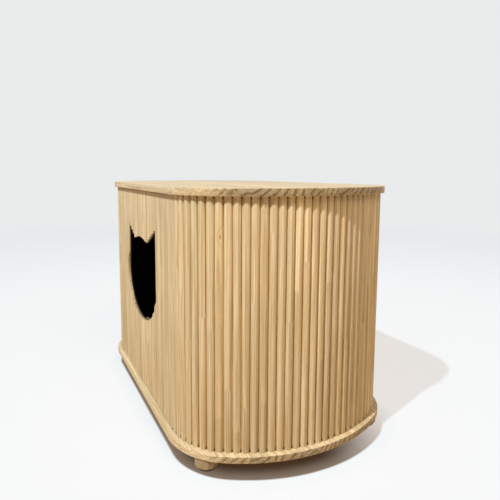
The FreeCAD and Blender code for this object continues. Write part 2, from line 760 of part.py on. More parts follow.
def check_and_write():
    doc.recompute()
    for thing in doc.Objects:
        if "Invalid" in thing.State or "Error" in thing.State:
            raise RuntimeError(f"{thing.Name} ({thing.Label}) failed: {thing.State}")
    for node, thing in nodes.items():
        if thing.Shape.isNull() or not thing.Shape.isValid():
            raise RuntimeError(f"{node} has a bad shape")
    os.makedirs("parts", exist_ok=True)
    for node, thing in nodes.items():
        thing.Shape.exportStep(f"parts/{node}.step")
        box = thing.Shape.BoundBox
        print(f"{node:28s} {len(thing.Shape.Solids):3d} solids "
              f"X {box.XMin:8.1f} {box.XMax:8.1f}  Y {box.YMin:8.1f} {box.YMax:8.1f}  "
              f"Z {box.ZMin:7.1f} {box.ZMax:7.1f}")


fill_sheet()
make_boards()
make_feet()
make_stop_rail(make_frame())
make_fixed_reeds()
cat_opening = opening_cutter()
for leaf_word, leaf_side in SIDES.items():
    make_leaf(leaf_word, leaf_side, cat_opening)
make_bushes()
check_and_write()
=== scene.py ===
"""Looks of the litter box cabinet: pine boards, half-round reeds, two pivoting
leaves with a cat's-head opening, and the joinery and hardware inside.

Metres throughout. +X is the right end, -Y the front, Z = 0 the floor."""

import json
import math
import random

import bmesh
import bpy
from mathutils import Matrix, Vector

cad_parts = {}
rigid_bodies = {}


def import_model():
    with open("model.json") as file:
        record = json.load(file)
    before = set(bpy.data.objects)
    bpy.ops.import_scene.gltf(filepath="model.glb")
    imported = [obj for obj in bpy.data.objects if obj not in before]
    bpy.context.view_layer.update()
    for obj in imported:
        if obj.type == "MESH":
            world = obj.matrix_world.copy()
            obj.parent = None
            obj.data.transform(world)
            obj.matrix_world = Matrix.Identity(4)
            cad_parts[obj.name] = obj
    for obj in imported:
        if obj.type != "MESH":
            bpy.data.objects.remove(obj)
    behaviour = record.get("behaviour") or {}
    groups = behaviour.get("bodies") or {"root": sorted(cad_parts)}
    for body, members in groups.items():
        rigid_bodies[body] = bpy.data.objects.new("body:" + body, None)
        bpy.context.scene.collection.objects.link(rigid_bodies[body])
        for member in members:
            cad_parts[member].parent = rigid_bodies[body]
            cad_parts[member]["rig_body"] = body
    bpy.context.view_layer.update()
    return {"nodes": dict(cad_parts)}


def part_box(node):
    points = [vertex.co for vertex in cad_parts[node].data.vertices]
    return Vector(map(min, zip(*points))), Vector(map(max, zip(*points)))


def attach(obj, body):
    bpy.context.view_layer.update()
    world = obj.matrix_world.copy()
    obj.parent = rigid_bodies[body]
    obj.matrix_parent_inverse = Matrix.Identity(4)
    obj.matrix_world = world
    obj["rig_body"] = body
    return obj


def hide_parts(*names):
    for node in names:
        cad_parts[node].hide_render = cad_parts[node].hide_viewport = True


bl_info = {
    "name": "Litter box cabinet",
    "version": (1, 0, 0),
    "blender": (4, 5, 0),
    "location": "View3D > Sidebar > Cabinet",
    "description": "Models and finishes a reeded pine litter box cabinet",
    "category": "Add Mesh",
}

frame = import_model()

SIDES = {"right": 1, "left": -1}
BODY = "cabinet"

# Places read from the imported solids
BASE_LOW, BASE_HIGH = (corner.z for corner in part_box("base_board"))
TOP_LOW, TOP_HIGH = (corner.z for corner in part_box("top_board"))
MIDDLE_HEIGHT = (BASE_HIGH + TOP_LOW) / 2
BACK_LOW, BACK_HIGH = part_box("back_panel")
SKIN_START, HALF_DEPTH = BACK_HIGH.x, BACK_HIGH.y
BACKING = HALF_DEPTH - BACK_LOW.y
LEAF_LOW, LEAF_HIGH = (corner.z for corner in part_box("right_door_reeds"))

# Two heights that differ by less than this are the same
LEVEL = 0.0001

# Each group of pieces draws its random numbers from dice of its own
FIXED_REED_DICE, LEAF_DICE, FOOT_DICE, TIMBER_DICE = 11, 23, 5, 31


# Sizes and colours that a user would change

def length(name, default, description):
    return bpy.props.FloatProperty(name=name, default=default, description=description,
                                   subtype="DISTANCE", unit="LENGTH", min=0)


def colour(name, default, description):
    return bpy.props.FloatVectorProperty(name=name, default=default, description=description,
                                         subtype="COLOR", size=3, min=0, max=1)


class CabinetSizes(bpy.types.PropertyGroup):
    corner_radius: length("Corner radius", 0.136, "Plan radius of the four corners")
    end_radius: length("End radius", 0.359, "Plan radius of the two bulged ends")
    corner_lead: length("Corner lead", 0.0021, "Flat between the fixed skin's edge and the corner")
    top_overhang: length("Top overhang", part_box("top_board")[1].y - HALF_DEPTH,
                         "Top board past the backing")
    base_overhang: length("Base overhang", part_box("base_board")[1].y - HALF_DEPTH,
                          "Base board past the backing")
    board_round: length("Board edge", 0.0016, "Eased edges of both boards")
    reed_pitch: length("Reed pitch", 0.0178, "Reed to reed along the front")
    reed_height: length("Reed height", 0.006, "Reed crest above the backing")
    reed_gap: length("Reed gap", 0.0004, "Between the feet of two reeds")
    reed_ease: length("Reed ends", 0.0004, "Eased ends of the reeds")
    seam_gap: length("Seam", 0.0016, "Between the two leaves")
    foot_chamfer: length("Foot chamfer", 0.0045, "Lower edge of a foot")
    timber_ease: length("Timber edges", 0.0006, "Eased edges of the timber inside")
    hardware_ease: length("Hardware edges", 0.00015, "Eased edges of the hardware")


class OpeningSizes(bpy.types.PropertyGroup):
    chin_base: length("Chin", 0.180, "Chin of the opening above the base board")
    chin_width: length("Chin width", 0.082, "Half width where the chin meets the cheek")
    chin_rise: length("Chin rise", 0.017, "The chin's curve")
    cheek_width: length("Cheek width", 0.146, "Half width across the cheeks")
    cheek_rise: length("Cheek rise", 0.092, "Widest part of the cheeks above the chin")
    ear_width: length("Ear width", 0.142, "Half width where ear meets cheek")
    ear_rise: length("Ear rise", 0.163, "Where ear meets cheek above the chin")
    tip_width: length("Tip width", 0.144, "Half width of the ear tips")
    tip_rise: length("Tip rise", 0.250, "Ear tips above the chin")
    tip_round: length("Tip round", 0.005, "Radius of the ear tips")
    valley_width: length("Valley width", 0.060, "Half width where ear meets brow")
    valley_rise: length("Valley rise", 0.208, "Where ear meets brow above the chin")
    brow_rise: length("Brow rise", 0.009, "The brow's curve")


class CabinetColours(bpy.types.PropertyGroup):
    early_wood: colour("Early wood", (0.765, 0.665, 0.465), "Pale part of a growth ring")
    late_wood: colour("Late wood", (0.43, 0.28, 0.13), "Dark line of a growth ring")
    honey: colour("Honey streak", (0.84, 0.76, 0.60), "Darkens the resinous streaks")
    # Painted shade: valley darkens the colour in the valleys between the reeds, and the valley end
    # colour darkens them most where they meet the boards
    valley: colour("Valley", (0.93, 0.77, 0.54), "Darkens the valleys between the reeds")
    painted_valley_end_shade: colour("Valley end", (0.13, 0.058, 0.020), "Where the valleys meet the boards")
    knot_wood: colour("Knot", (0.19, 0.09, 0.035), "Small knots")
    # Plywood face: partly its own colour, partly painted shade, kept brown so the gaps between the
    # reeds show as warm valleys
    ply_face: colour("Plywood face", (0.52, 0.33, 0.17), "Plywood behind the reeds")
    # Painted shade: near-black on the plywood's edges, its core and its inner face, for the dark
    # interior seen through the opening
    ply_edge_shade: colour("Plywood edge", (0.014, 0.010, 0.008), "Dark stained edges")
    ply_core_shade: colour("Plywood core", (0.008, 0.006, 0.005), "Cross ply in the plywood's edge")
    inner_shade: colour("Film", (0.014, 0.012, 0.011), "Film on the plywood inside")
    # Painted shade: darkens the feet for the base board's shadow over them
    foot: colour("Foot", (0.52, 0.50, 0.46), "Turns pine into the darker wood of the feet")
    beech: colour("Dowel", (0.92, 0.72, 0.66), "Turns pine into the beech of the dowels")
    steel: colour("Steel", (0.60, 0.60, 0.58), "Zinc plated steel")
    yellow_zinc: colour("Yellow zinc", (0.64, 0.52, 0.27), "Screws")
    brass: colour("Brass", (0.60, 0.42, 0.16), "Threaded inserts")
    nylon: colour("Nylon", (0.16, 0.11, 0.07), "Pivot bushes")
    housing: colour("Catch", (0.72, 0.69, 0.61), "Catch housing")
    felt: colour("Felt", (0.028, 0.025, 0.022), "Foot pads")
    floor: colour("Floor", (0.60, 0.81, 0.965), "Studio floor")


def sizes():
    return bpy.context.scene.cabinet_sizes


def opening_sizes():
    return bpy.context.scene.cabinet_opening


def colours():
    return bpy.context.scene.cabinet_colours


# Geometry helpers

def arc(centre, radius, start, stop, steps):
    """Points of an arc from start to stop, without its last point."""
    return [Vector((centre[0] + radius * math.cos(angle), centre[1] + radius * math.sin(angle)))
            for angle in (start + (stop - start) * step / steps for step in range(steps))]


def arc_through(start, middle, stop, steps):
    """Points of the arc through three points, without its last point."""
    ax, ay = start
    bx, by = middle
    cx, cy = stop
    spread = 2 * (ax * (by - cy) + bx * (cy - ay) + cx * (ay - by))
    a2, b2, c2 = ax * ax + ay * ay, bx * bx + by * by, cx * cx + cy * cy
    centre = Vector(((a2 * (by - cy) + b2 * (cy - ay) + c2 * (ay - by)) / spread,
                     (a2 * (cx - bx) + b2 * (ax - cx) + c2 * (bx - ax)) / spread))
    first, last = Vector(start) - centre, Vector(stop) - centre
    turn = math.atan2(first.x * last.y - first.y * last.x, first.dot(last))
    begin = math.atan2(first.y, first.x)
    return arc(centre, first.length, begin, begin + turn, steps)


def plan_values():
    """Where the flats end, the corners' y, the ends' x and the angle at which a
    corner's arc meets an end's."""
    values = sizes()
    centre_y = HALF_DEPTH - values.corner_radius
    reach = values.end_radius - values.corner_radius
    tilt = math.asin(centre_y / reach)
    flat = SKIN_START + values.corner_lead
    return flat, centre_y, flat - reach * math.cos(tilt), tilt


CORNER_STEPS, END_STEPS = 40, 44


def plan_outline(grow):
    """The rounded plan, counterclockwise, grown outwards from the backing."""
    flat, centre_y, end_x, tilt = plan_values()
    corner, end = sizes().corner_radius + grow, sizes().end_radius + grow
    quarter, half = math.pi / 2, math.pi
    return [
        *arc((flat, -centre_y), corner, -quarter, -tilt, CORNER_STEPS),
        *arc((end_x, 0), end, -tilt, tilt, END_STEPS),
        *arc((flat, centre_y), corner, tilt, quarter, CORNER_STEPS + 1),
        *arc((-flat, centre_y), corner, quarter, half - tilt, CORNER_STEPS),
        *arc((-end_x, 0), end, half - tilt, half + tilt, END_STEPS),
        *arc((-flat, -centre_y), corner, half + tilt, half + quarter, CORNER_STEPS + 1),
    ]


def end_path():
    """Stretches of the right end's backing, from front to back: length, and a
    function from the distance along it to a point and its outward direction."""
    flat, centre_y, end_x, tilt = plan_values()
    corner, end, lead = sizes().corner_radius, sizes().end_radius, sizes().corner_lead

    def along_flat(sign):
        def at(travel):
            x = SKIN_START + travel if sign < 0 else flat - travel
            return Vector((x, sign * HALF_DEPTH, 0)), Vector((0, sign, 0))
        return at

    def along_arc(centre, radius, start):
        def at(travel):
            angle = start + travel / radius
            outward = Vector((math.cos(angle), math.sin(angle), 0))
            return Vector((*centre, 0)) + outward * radius, outward
        return at

    bend = corner * (math.pi / 2 - tilt)
    return [
        (lead, along_flat(-1)),
        (bend, along_arc((flat, -centre_y), corner, -math.pi / 2)),
        (2 * end * tilt, along_arc((end_x, 0), end, -tilt)),
        (bend, along_arc((flat, centre_y), corner, tilt)),
        (lead, along_flat(1)),
    ]


def end_at(travel):
    """Point and outward direction at a distance along the end's path."""
    path = end_path()
    for run, at in path[:-1]:
        if travel <= run:
            return at(travel)
        travel -= run
    return path[-1][1](travel)


def end_length():
    return sum(run for run, _ in end_path())


# Modelling helpers

def deselect():
    if bpy.context.mode != "OBJECT":
        bpy.ops.object.mode_set(mode="OBJECT")
    bpy.ops.object.select_all(action="DESELECT")


def activate(piece):
    deselect()
    piece.select_set(True)
    bpy.context.view_layer.objects.active = piece


def settle(piece):
    """Leave the piece at the origin, unturned and unscaled."""
    activate(piece)
    bpy.ops.object.transform_apply(location=True, rotation=True, scale=True)
    return piece


def named(name):
    piece = bpy.context.active_object
    piece.name = piece.data.name = name
    return piece


def add_object(name, data):
    holder = bpy.data.objects.new(name, data)
    bpy.context.scene.collection.objects.link(holder)
    return holder


def add_polygon(name, corners):
    """Face through the corners, made from a circle with as many sides."""
    deselect()
    bpy.ops.mesh.primitive_circle_add(vertices=len(corners), radius=1, fill_type="NGON")
    face = named(name)
    for vertex, corner in zip(face.data.vertices, corners):
        vertex.co = corner
    return face


def edit_all():
    """Enter edit mode with everything selected."""
    bpy.ops.object.mode_set(mode="EDIT")
    bpy.ops.mesh.select_all(action="SELECT")


def close_edit():
    """Point every face outwards and leave edit mode."""
    bpy.ops.mesh.select_all(action="SELECT")
    bpy.ops.mesh.normals_make_consistent(inside=False)
    bpy.ops.object.mode_set(mode="OBJECT")


def extrude(x, y, z):
    bpy.ops.mesh.extrude_region_move(TRANSFORM_OT_translate={"value": (x, y, z)})


def is_level(a, b):
    return abs(a.z - b.z) < LEVEL


def round_edges(piece, wanted, offset, segments=3):
    """In edit mode, round the edges for which wanted(corner, corner) holds."""
    bpy.ops.mesh.select_mode(type="EDGE")
    bpy.ops.mesh.select_all(action="DESELECT")
    shape = bmesh.from_edit_mesh(piece.data)
    for edge in shape.edges:
        edge.select_set(wanted(edge.verts[0].co, edge.verts[1].co))
    shape.select_flush_mode()
    bmesh.update_edit_mesh(piece.data)
    bpy.ops.mesh.bevel(offset=offset, segments=segments, affect="EDGES")


def apply_modifier(piece, kind, **values):
    activate(piece)
    modifier = piece.modifiers.new(kind.title(), kind)
    for key, value in values.items():
        setattr(modifier, key, value)
    bpy.ops.object.modifier_apply(modifier=modifier.name)


def smooth(piece, degrees=35):
    activate(piece)
    bpy.ops.object.shade_smooth_by_angle(angle=math.radians(degrees))


def set_seed(mesh, middle, seed):
    """Give every point of a piece of wood its own middle and random number."""
    attribute = mesh.attributes.new("stave", "FLOAT_VECTOR", "POINT")
    for item in attribute.data:
        item.vector = (middle[0], middle[1], seed)


def mark_depth(mesh, depths):
    """Give every point of plywood its depth: 0 at the outer face, 1 inside."""
    attribute = mesh.attributes.new("depth", "FLOAT", "POINT")
    for item, depth in zip(attribute.data, depths):
        item.value = depth


def dress(piece, finish, body, node):
    """Finish, body, record slot and the CAD node that the piece stands for."""
    piece.data.materials.clear()
    piece.data.materials.append(FINISHES[finish])
    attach(piece, body)
    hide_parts(node)


def join(pieces, name):
    deselect()
    for piece in pieces:
        piece.select_set(True)
    bpy.context.view_layer.objects.active = pieces[0]
    bpy.ops.object.join()
    return named(name)


# Materials

class Nodes:
    """Short names for building a node tree."""

    def __init__(self, tree):
        self.tree = tree
        tree.nodes.clear()

    def add(self, kind, **values):
        node = self.tree.nodes.new(kind)
        for key, value in values.items():
            setattr(node, key, value)
        return node

    def link(self, source, target):
        self.tree.links.new(source, target)

    def feed(self, socket, value):
        if isinstance(value, bpy.types.NodeSocket):
            self.link(value, socket)
        else:
            socket.default_value = value

    def feed_all(self, sockets, values):
        for socket, value in zip(sockets, values):
            self.feed(socket, value)

    def math(self, operation, *values, clamp=False):
        node = self.add("ShaderNodeMath", operation=operation, use_clamp=clamp)
        self.feed_all(node.inputs, values)
        return node.outputs[0]

    def plus(self, first, second):
        return self.math("ADD", first, second)

    def minus(self, first, second):
        return self.math("SUBTRACT", first, second)

    def times(self, first, second, clamp=False):
        return self.math("MULTIPLY", first, second, clamp=clamp)

    def split(self, value):
        node = self.add("ShaderNodeSeparateXYZ")
        self.feed(node.inputs[0], value)
        return node.outputs[0], node.outputs[1], node.outputs[2]

    def combine(self, x, y, z):
        node = self.add("ShaderNodeCombineXYZ")
        self.feed_all(node.inputs, (x, y, z))
        return node.outputs[0]

    def distance(self, x, y, z=0.0):
        """Length of the vector with these three parts."""
        node = self.add("ShaderNodeVectorMath", operation="LENGTH")
        self.feed(node.inputs[0], self.combine(x, y, z))
        return node.outputs["Value"]

    def noise(self, position, scale=1.0, detail=2.0, roughness=0.5):
        node = self.add("ShaderNodeTexNoise")
        self.feed(node.inputs["Vector"], position)
        for name, value in (("Scale", scale), ("Detail", detail), ("Roughness", roughness)):
            self.feed(node.inputs[name], value)
        return node.outputs["Fac"]

    def random(self, position):
        """Four random numbers that are the same wherever position is."""
        node = self.add("ShaderNodeTexWhiteNoise", noise_dimensions="3D")
        self.feed(node.inputs["Vector"], position)
        return (node.outputs["Value"], *self.split(node.outputs["Color"]))

    def span(self, value, low, high, to_low=0.0, to_high=1.0, easing="SMOOTHSTEP"):
        """Carry low..high over to to_low..to_high, and hold the ends."""
        node = self.add("ShaderNodeMapRange", interpolation_type=easing)
        for name, number in (("Value", value), ("From Min", low), ("From Max", high),
                             ("To Min", to_low), ("To Max", to_high)):
            self.feed(node.inputs[name], number)
        return node.outputs[0]

    def line(self, value, to_low, to_high, low=0.0, high=1.0):
        """The same in a straight line, from 0..1 unless told otherwise."""
        return self.span(value, low, high, to_low, to_high, "LINEAR")

    def mix(self, share, first, second, blend="MIX"):
        node = self.add("ShaderNodeMix", data_type="RGBA", blend_type=blend)
        ends = [socket for socket in node.inputs if socket.type == "RGBA"]
        self.feed(node.inputs[0], share)
        self.feed_all(ends, (value if isinstance(value, bpy.types.NodeSocket) else (*value, 1.0)
                             for value in (first, second)))
        return next(socket for socket in node.outputs if socket.type == "RGBA")

    def stained(self, tint, stain_or_shade):
        """One colour times another."""
        return self.mix(1.0, tint, stain_or_shade, blend="MULTIPLY")

    def scaled(self, tint, factor):
        """A colour times a number."""
        return self.stained(tint, self.combine(factor, factor, factor))

    def place(self):
        return self.add("ShaderNodeTexCoord").outputs["Object"]

    def attribute(self, name, output="Vector"):
        return self.add("ShaderNodeAttribute", attribute_name=name).outputs[output]

    def seen(self, *others):
        """1 for what the camera sees, and for the other kinds of ray that are named."""
        rays = self.add("ShaderNodeLightPath").outputs
        share = rays["Is Camera Ray"]
        for other in others:
            share = self.plus(share, rays[f"Is {other} Ray"])
        return share

    def layer(self, share, below, above):
        """One surface or background over another."""
        node = self.add("ShaderNodeMixShader")
        self.feed_all(node.inputs, (share, below, above))
        return node.outputs[0]


class Shader(Nodes):
    """A material with one principled surface."""

    def __init__(self, name):
        self.material = bpy.data.materials.new(name)
        self.material.use_nodes = True
        super().__init__(self.material.node_tree)
        self.surface = self.add("ShaderNodeBsdfPrincipled")
        self.output = self.add("ShaderNodeOutputMaterial").inputs["Surface"]
        self.link(self.surface.outputs["BSDF"], self.output)

    def bump(self, height, distance, strength):
        node = self.add("ShaderNodeBump")
        self.feed(node.inputs["Height"], height)
        node.inputs["Distance"].default_value = distance
        node.inputs["Strength"].default_value = strength
        self.link(node.outputs["Normal"], self.surface.inputs["Normal"])

    def set(self, **values):
        for name, value in values.items():
            self.feed(self.surface.inputs[name.replace("_", " ")], value)


# Noise drawn out along the grain: scale across, scale along, detail
GRAIN = {
    "wander": (9.0, 2.4, 1.5),
    "streak": (260.0, 3.4, 3.0),
    "fibre": (900.0, 14.0, 3.0),
    "cloud": (60.0, 9.0, 2.0),
    "veneer": (260.0, 9.0, 3.0),
    "veneer_cloud": (22.0, 3.0, 3.0),
}
GRAIN_ROUGHNESS = 0.55

# Growth rings: their width in a board and in a stick, the narrowest and widest
# as shares of it, where in a ring the late wood begins and ends, how far the
# rings stray, and how far off the pith lies and in which direction
RING_WIDTH = {"board": 0.0112, "stick": 0.0046}
RING_SHARES = (0.75, 1.45)
LATE_BEGINS, LATE_ENDS = (0.42, 0.90), (1.0, 0.94)
RING_WANDER = 0.012
PITH_REACH = (0.020, 0.085)
BOARD_SWING = math.radians(-42)
SWING_SPREAD = 0.45

# Finger-jointed pieces, and steps that set the random numbers of pieces apart
PIECE_LENGTH = 0.46
FINGER_PITCH = 0.0042
FINGER_DEPTH = 0.0055
PIECE_STAGGER, PIECE_PICK, PIECE_SHIFT = 7.31, 91.7, 40.0

# Knots: from which random number a piece has one, its place across and along,
# its length as a share of a piece, the swell of the rings about it, its edge
# and its strength
KNOT_FROM = 0.86
KNOT_ASIDE, KNOT_ALONG, KNOT_LENGTH = 0.004, 0.4, 0.45
KNOT_SWELL = (0.013, 0.001, 0.0, 0.007)
KNOT_EDGE = (0.0030, 0.0014)
KNOT_DEEP = 0.8

# How squarely a face must lie across the grain to be end grain, and what that
# does to its rings and its tone
END_FACING = (0.70, 0.93)
END_RINGS, END_TONE = (0.43, 2.4), (1.0, 0.60)

# Late wood's share, before contrast, and the tone of each kind of noise
LATE_SHARE = (0.34, 0.66)
GRAIN_TONES = (("fibre", 0.94, 1.06), ("streak", 1.11, 0.85), ("cloud", 0.93, 1.05))
STICK_TONE = (0.92, 1.06)

# Painted shade in the valleys between the reeds, by distance from the crest, and
# the height of its darkest ends at the base board and at the top board
VALLEY_SHADE_FROM, VALLEY_END_SHADE_FROM = (0.0074, 0.0101), (0.0066, 0.0094)
VALLEY_SHADE_LOW_END, VALLEY_SHADE_HIGH_END = 0.008, 0.004


def grain_axes(shader, axis, position):
    """Two coordinates across the grain and the one along it."""
    x, y, z = shader.split(position)
    return {"X": (y, z, x), "Z": (x, y, z)}[axis]


def long_noise(shader, spot, kind, shift=0.0):
    across, through, along = spot
    across_scale, along_scale, detail = GRAIN[kind]
    place = shader.combine(shader.times(across, across_scale),
                           shader.times(through, across_scale),
                           shader.math("MULTIPLY_ADD", along, along_scale, shift))
    return shader.noise(place, 1.0, detail, GRAIN_ROUGHNESS)


def board_strip(shader, lamella, across, through):
    """Place in a strip of an edge-glued board, and the strip's random number."""
    index = shader.math("FLOOR", shader.math("DIVIDE", across, lamella))
    middle = shader.times(shader.plus(index, 0.5), lamella)
    is_top = shader.math("GREATER_THAN", through, MIDDLE_HEIGHT)
    core = shader.math("MULTIPLY_ADD", is_top, TOP_HIGH - BASE_HIGH, (BASE_LOW + BASE_HIGH) / 2)
    seed = shader.random(shader.combine(index, is_top, 1.3))[0]
    return shader.minus(across, middle), shader.minus(through, core), seed


def own_stick(shader, axis, across, through):
    """Place in a single stick of wood, and the stick's random number."""
    stave = shader.split(shader.attribute("stave"))
    if axis == "Z":
        across, through = shader.minus(across, stave[0]), shader.minus(through, stave[1])
    return across, through, stave[2]


def jointed_piece(shader, spot, seed):
    """Number of the finger-jointed piece, and the place along it."""
    across, through, along = spot
    saw = shader.math("PINGPONG", shader.plus(through, across), FINGER_PITCH / 2)
    finger = shader.times(saw, FINGER_DEPTH * 2 / FINGER_PITCH)
    run = shader.math("DIVIDE", shader.plus(along, finger), PIECE_LENGTH)
    run = shader.math("MULTIPLY_ADD", seed, PIECE_STAGGER, run)
    return shader.math("FLOOR", run), shader.minus(shader.math("FRACT", run), 0.5)


def small_knot(shader, spot, local, chances):
    """How far a knot pushes the rings aside, and the share of its own wood."""
    across, through, _ = spot
    first, second, _, fourth = chances
    aside = shader.line(fourth, -KNOT_ASIDE, KNOT_ASIDE)
    along = shader.minus(local, shader.line(second, -KNOT_ALONG, KNOT_ALONG))
    gap = shader.distance(shader.minus(across, aside), shader.minus(through, aside),
                          shader.times(along, PIECE_LENGTH * KNOT_LENGTH))
    there = shader.math("GREATER_THAN", first, KNOT_FROM)
    return (shader.times(shader.span(gap, *KNOT_SWELL), there),
            shader.times(shader.span(gap, *KNOT_EDGE), there))


def late_wood(shader, spot, swell, shift, chances, kind):
    """Share of late wood, in rings about a pith that lies outside the piece."""
    across, through, _ = spot
    _, second, third, fourth = chances
    if kind == "board":
        swing = shader.line(second, BOARD_SWING - SWING_SPREAD, BOARD_SWING + SWING_SPREAD)
        turned = shader.times(shader.math("GREATER_THAN", third, 0.5), math.pi)
        swing = shader.plus(swing, turned)
    else:
        swing = shader.times(second, 2 * math.pi)
    reach = shader.line(third, *PITH_REACH)
    radius = shader.distance(
        shader.minus(across, shader.times(shader.math("COSINE", swing), reach)),
        shader.minus(through, shader.times(shader.math("SINE", swing), reach)))
    wander = shader.line(long_noise(shader, spot, "wander", shift), -RING_WANDER, RING_WANDER)
    radius = shader.plus(shader.plus(radius, wander), swell)
    spacing = shader.line(fourth, *(RING_WIDTH[kind] * share for share in RING_SHARES))
    ring = shader.math("FRACT", shader.math("DIVIDE", radius, spacing))
    return shader.times(shader.span(ring, *LATE_BEGINS), shader.span(ring, *LATE_ENDS))


def shaded_valleys(shader, spot, tint):
    """Paint shade into the colour beside a reed's crest, most of all at the reed's ends."""
    across, through, along = spot
    tints = colours()
    from_crest = shader.distance(across, through)
    valley_shade_share = shader.span(from_crest, *VALLEY_SHADE_FROM)
    tint = shader.mix(valley_shade_share, tint, shader.stained(tint, tints.valley))
    near_end = shader.math("MAXIMUM",
                           shader.span(along, LEAF_LOW + VALLEY_SHADE_LOW_END, LEAF_LOW),
                           shader.span(along, LEAF_HIGH - VALLEY_SHADE_HIGH_END, LEAF_HIGH))
    end_shade_share = shader.times(shader.span(from_crest, *VALLEY_END_SHADE_FROM), near_end)
    return shader.mix(end_shade_share, tint, tints.painted_valley_end_shade)


def pine(name, axis, lamella=0.0, jointed=True, contrast=1.0, tone_spread=0.08, stain_or_shade=None,
         valleys=False):
    """Pine with growth rings, fibres, finger joints and small knots.

    A board is edge-glued from strips of one width (lamella); a single stick of
    wood reads its middle and its random number from its points. The middle of a
    reed is its crest, and painted shade darkens the valleys beside it."""
    shader = Shader(name)
    tints = colours()
    across, through, along = grain_axes(shader, axis, shader.place())
    if lamella:
        across, through, seed = board_strip(shader, lamella, across, through)
    else:
        across, through, seed = own_stick(shader, axis, across, through)
    spot = (across, through, along)
    if jointed:
        piece, local = jointed_piece(shader, spot, seed)
    else:
        piece, local = 0.0, shader.math("DIVIDE", along, PIECE_LENGTH)
    pick = shader.combine(shader.times(seed, PIECE_PICK), piece, 0.5)
    first, second, third, fourth = chances = shader.random(pick)
    shift = shader.times(first, PIECE_SHIFT)
    swell, knot = small_knot(shader, spot, local, chances)
    late = late_wood(shader, spot, swell, shift, chances, "board" if lamella else "stick")
    grain = {kind: long_noise(shader, spot, kind, shift) for kind, _, _ in GRAIN_TONES}

    # End grain takes more finish and shows its rings darker
    normal = shader.add("ShaderNodeTexCoord").outputs["Normal"]
    facing = grain_axes(shader, axis, normal)[2]
    end_grain = shader.span(shader.math("ABSOLUTE", facing), *END_FACING)

    share = shader.line(third, *(part * contrast for part in LATE_SHARE))
    share = shader.times(share, shader.line(grain["streak"], 0.5, 1.3, 0.3, 0.7))
    share = shader.times(share, shader.line(end_grain, *END_RINGS))
    share = shader.times(share, late, clamp=True)
    tint = shader.mix(share, tints.early_wood, tints.late_wood)
    warm = shader.span(grain["streak"], 0.38, 0.62)
    warm = shader.math("MULTIPLY_ADD", second, 0.25, warm, clamp=True)
    tint = shader.mix(warm, tint, shader.stained(tint, tints.honey))
    tint = shader.mix(shader.times(knot, KNOT_DEEP), tint, tints.knot_wood)
    # A stain multiplies the colour; for the feet it is painted shade
    if stain_or_shade:
        tint = shader.stained(tint, stain_or_shade)
    # Painted shade in the valleys between the reeds, darkest at their ends
    if valleys:
        tint = shaded_valleys(shader, spot, tint)
    tone = shader.line(first, 1.0 - tone_spread, 1.0 + tone_spread)
    for kind, low, high in GRAIN_TONES:
        tone = shader.times(tone, shader.line(grain[kind], low, high, 0.25, 0.75))
    tone = shader.times(tone, shader.line(seed, *STICK_TONE))
    tone = shader.times(tone, shader.line(end_grain, *END_TONE))
    shader.set(Base_Color=shader.scaled(tint, tone),
               Roughness=shader.line(share, 0.48, 0.38, 0.0, 0.6),
               IOR=1.47, Coat_Weight=0.12, Coat_Roughness=0.28)
    relief = shader.math("MULTIPLY_ADD", share, 0.4, shader.times(grain["fibre"], 0.6))
    shader.bump(relief, 0.00012, 0.35)
    return shader.material


# Depth in the plywood, from 0 outside to 1 inside, of its bare face, the two
# borders of its core and its inner face, which takes near-black painted shade
PLY_FACE, PLY_INNER_SHADE = (0.07, 0.03), (0.93, 0.97)
PLY_CORE_FROM, PLY_CORE_TO = (0.30, 0.36), (0.70, 0.64)


def plywood(name):
    """Bending plywood: bare behind the reeds, with near-black painted shade on its
    edges, where its three plies show, and on its inner face."""
    shader = Shader(name)
    tints = colours()
    spot = shader.split(shader.place())
    fibre = long_noise(shader, spot, "veneer")
    cloud = long_noise(shader, spot, "veneer_cloud")
    weave = shader.noise(shader.place(), 700.0, 2.0)
    depth = shader.attribute("depth", "Fac")
    core = shader.times(shader.span(depth, *PLY_CORE_FROM), shader.span(depth, *PLY_CORE_TO))
    inner_shade = shader.span(depth, *PLY_INNER_SHADE)
    tone = shader.times(shader.line(fibre, 0.75, 1.15, 0.2, 0.8),
                        shader.line(cloud, 0.85, 1.10, 0.2, 0.8))
    # Painted shade: near-black edges and core
    tint = shader.mix(core, tints.ply_edge_shade, tints.ply_core_shade)
    tint = shader.mix(shader.span(depth, *PLY_FACE), tint, tints.ply_face)
    # Painted shade: near-black inner face
    inner_shade_tint = shader.scaled(tints.inner_shade, shader.span(cloud, 0.2, 0.8, 0.9, 1.1))
    tint = shader.mix(inner_shade, shader.scaled(tint, tone), inner_shade_tint)
    rough = shader.times(shader.line(inner_shade, 0.72, 0.40), shader.line(weave, 0.92, 1.10, 0.3, 0.7))
    shader.set(Base_Color=tint, Roughness=rough, Specular_IOR_Level=0.2)
    shader.bump(shader.mix(inner_shade, fibre, weave), 0.00006, 0.3)
    return shader.material


def metal(name, tint):
    """Plated steel or brass with fine rolling marks and a little tarnish."""
    shader = Shader(name)
    x, y, z = shader.split(shader.place())
    marks = shader.noise(shader.combine(shader.times(x, 400.0), shader.times(y, 2400.0),
                                        shader.times(z, 400.0)), 1.0, 3.0)
    cloud = shader.noise(shader.place(), 90.0, 3.0)
    shader.set(Base_Color=shader.scaled(tint, shader.span(cloud, 0.2, 0.8, 0.82, 1.05)),
               Metallic=1.0, Roughness=shader.line(marks, 0.30, 0.46, 0.2, 0.8))
    shader.bump(marks, 0.00002, 0.3)
    return shader.material


